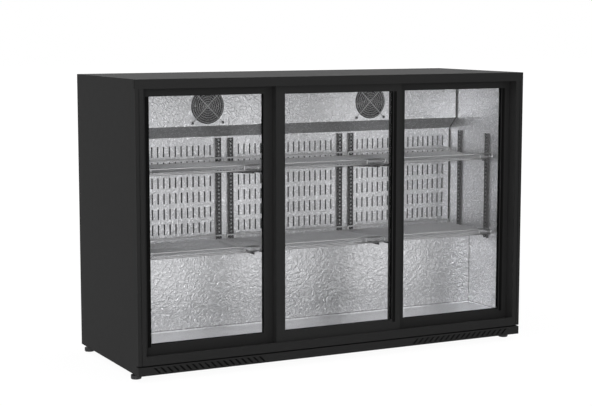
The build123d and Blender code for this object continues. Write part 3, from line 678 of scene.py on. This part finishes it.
def fingerPulls():
    radius = (pull["width"] ** 2 / 4 + pull["depth"] ** 2) / (2 * pull["depth"])
    for door, side in (("left", 0), ("middle", 1), ("right", 1)):
        glass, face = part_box(door + "_door_glass"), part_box(door + "_door_frame")[0].y
        inward = 1 if side == 0 else -1
        edge = glass[side].x + inward * pull["bite"]
        middle = edge - inward * (pull["lip"] + pull["width"] / 2)
        centre = face + pull["depth"] - radius
        arc = [pull["half"] * (2 * i / pull["steps"] - 1) for i in range(pull["steps"] + 1)]
        section = [(x, radius - pull["front"]) for x in arc] + [(x, radius - pull["back"]) for x in reversed(arc)]
        loop = [(middle + x, centre + math.sqrt(r * r - x * x)) for x, r in section]
        low = glass[0].z + pull["bite"] - pull["overrun"]
        high = glass[1].z - pull["bite"] - pull["topGap"]
        bars = [[[(x, y, z) for x, y in loop] for z in (low, high)]]
        # the black lining is painted shade in the groove
        barsPiece(door + "DoorPullShade", bars, "black_rubber", door + "_door")


# end caps that close the header onto the side panels
cap = {"gap": 0.0004}


def headerCaps():
    rail, panel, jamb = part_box("front_top_rail"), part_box("right_side_panel"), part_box("right_jamb")
    gap = cap["gap"]
    across = (jamb[0].x + gap, rail[1].x - gap)
    along = (rail[1].y + gap, panel[0].y - gap)
    up = (rail[0].z + gap, rail[1].z - gap)
    bars = []
    for side in (-1, 1):
        corners = [(across[0], along[0]), (across[1], along[0])]
        corners += [(across[1], along[1]), (across[0], along[1])]
        bars.append([[(x * side, y, z) for x, y in corners] for z in up])
    barsPiece("headerCaps", bars, "black_powder_coat", "cabinet")


headerCaps()
fingerPulls()
endSeals()
print("end seals, header caps and finger pulls made")


# camera, lamps and surroundings
view = {"place": (-2.188, -4.241, 1.051), "turn": 26.99, "tilt": 6.96, "lens": 90, "sensor": 36}
camera = bpy.data.objects.new("camera", bpy.data.cameras.new("camera"))
scene.collection.objects.link(camera)
camera.data.lens = view["lens"]
camera.data.sensor_width = view["sensor"]
camera.location = view["place"]
camera.rotation_euler = (math.radians(90 - view["tilt"]), 0, -math.radians(view["turn"]))
scene.camera = camera

lamps = {
    "overhead": {"at": (-0.3, -0.6, 3.2), "aim": (0, 0, 0.6), "size": 3.2, "power": 40},
    "fill": {"at": (-2.8, -5.0, 1.1), "aim": (0, 0, 0.5), "size": 2.0, "power": 98},
    "front": {"at": (2.8, -5.0, 1.6), "aim": (0, 0, 0.5), "size": 3.0, "power": 11},
}
for name, lamp in lamps.items():
    light = bpy.data.lights.new(name, "AREA")
    light.size = lamp["size"]
    light.energy = lamp["power"]
    holder = bpy.data.objects.new(name, light)
    holder.location = lamp["at"]
    aim = Vector(lamp["aim"]) - holder.location
    holder.rotation_euler = aim.to_track_quat("-Z", "Y").to_euler()
    scene.collection.objects.link(holder)

whiteRays = ("Is Camera Ray", "Is Glossy Ray", "Is Transmission Ray")  # these see the surroundings white
studio = {"colour": (1, 1, 1, 1), "dim": 0.42}  # dim is how strongly it lights matt surfaces


def studioWorld():
    world = bpy.data.worlds.new("studio")
    scene.world = world
    world.use_nodes = True
    tree = world.node_tree
    tree.nodes.clear()
    path = tree.nodes.new("ShaderNodeLightPath")
    backdrop = tree.nodes.new("ShaderNodeBackground")
    backdrop.inputs["Color"].default_value = studio["colour"]
    level = backdrop.inputs["Strength"]
    for ray in whiteRays:
        brighter = tree.nodes.new("ShaderNodeMath")
        brighter.operation = "MAXIMUM"
        brighter.inputs[1].default_value = studio["dim"]
        tree.links.new(path.outputs[ray], brighter.inputs[0])
        tree.links.new(brighter.outputs[0], level)
        level = brighter.inputs[1]
    tree.links.new(backdrop.outputs[0], tree.nodes.new("ShaderNodeOutputWorld").inputs[0])


flooring = {
    "half": 30.0, "matt": (0.86, 0.86, 0.86, 1), "glow": (1, 1, 1, 1), "strength": 1.06,
    "share": 0.9, "rise": 0.1, "near": 1.2, "far": 3.5, "under": {"X": 0.62, "Y": 0.14}, "edge": 0.03,
}


def paleFloor():
    half = flooring["half"]
    sheet = bpy.data.meshes.new("floor")
    corners = [(-half, -half, 0), (half, -half, 0), (half, half, 0), (-half, half, 0)]
    sheet.from_pydata(corners, [], [(0, 1, 2, 3)])
    ground = bpy.data.objects.new("floor", sheet)
    scene.collection.objects.link(ground)
    paint = Paint("paleFloor")
    matt = paint.add("ShaderNodeBsdfDiffuse", None, {"Color": flooring["matt"]})["BSDF"]
    values = {"Color": flooring["glow"], "Strength": flooring["strength"]}
    glow = paint.add("ShaderNodeEmission", None, values)["Emission"]
    path, apart = paint.add("ShaderNodeLightPath"), paint.axes()
    seen, under = 0.0, 1.0
    for ray in whiteRays:
        seen = paint.maths("MAXIMUM", path[ray], seen)
    for axis, end in flooring["under"].items():  # the strip below the cabinet stays unlit
        under = paint.ramp(abs(apart[axis]), end, end - flooring["edge"]) * under
    distance = paint.add("ShaderNodeVectorMath", {"operation": "LENGTH"}, {0: paint.place()})["Value"]
    far = paint.ramp(distance, flooring["near"], flooring["far"])
    lit = seen * (flooring["share"] + far * flooring["rise"] - under * flooring["share"])
    blend = paint.add("ShaderNodeMixShader", None, {0: lit, 1: matt, 2: glow})["Shader"]
    sheet.materials.append(paint.finish(blend))


studioWorld()
paleFloor()
print("camera, lamps, world and floor made")

bpy.context.scene.view_settings.view_transform = "Standard"
scene.cycles.transparent_max_bounces = 32  # one door behind another puts eight faces of glass in the way
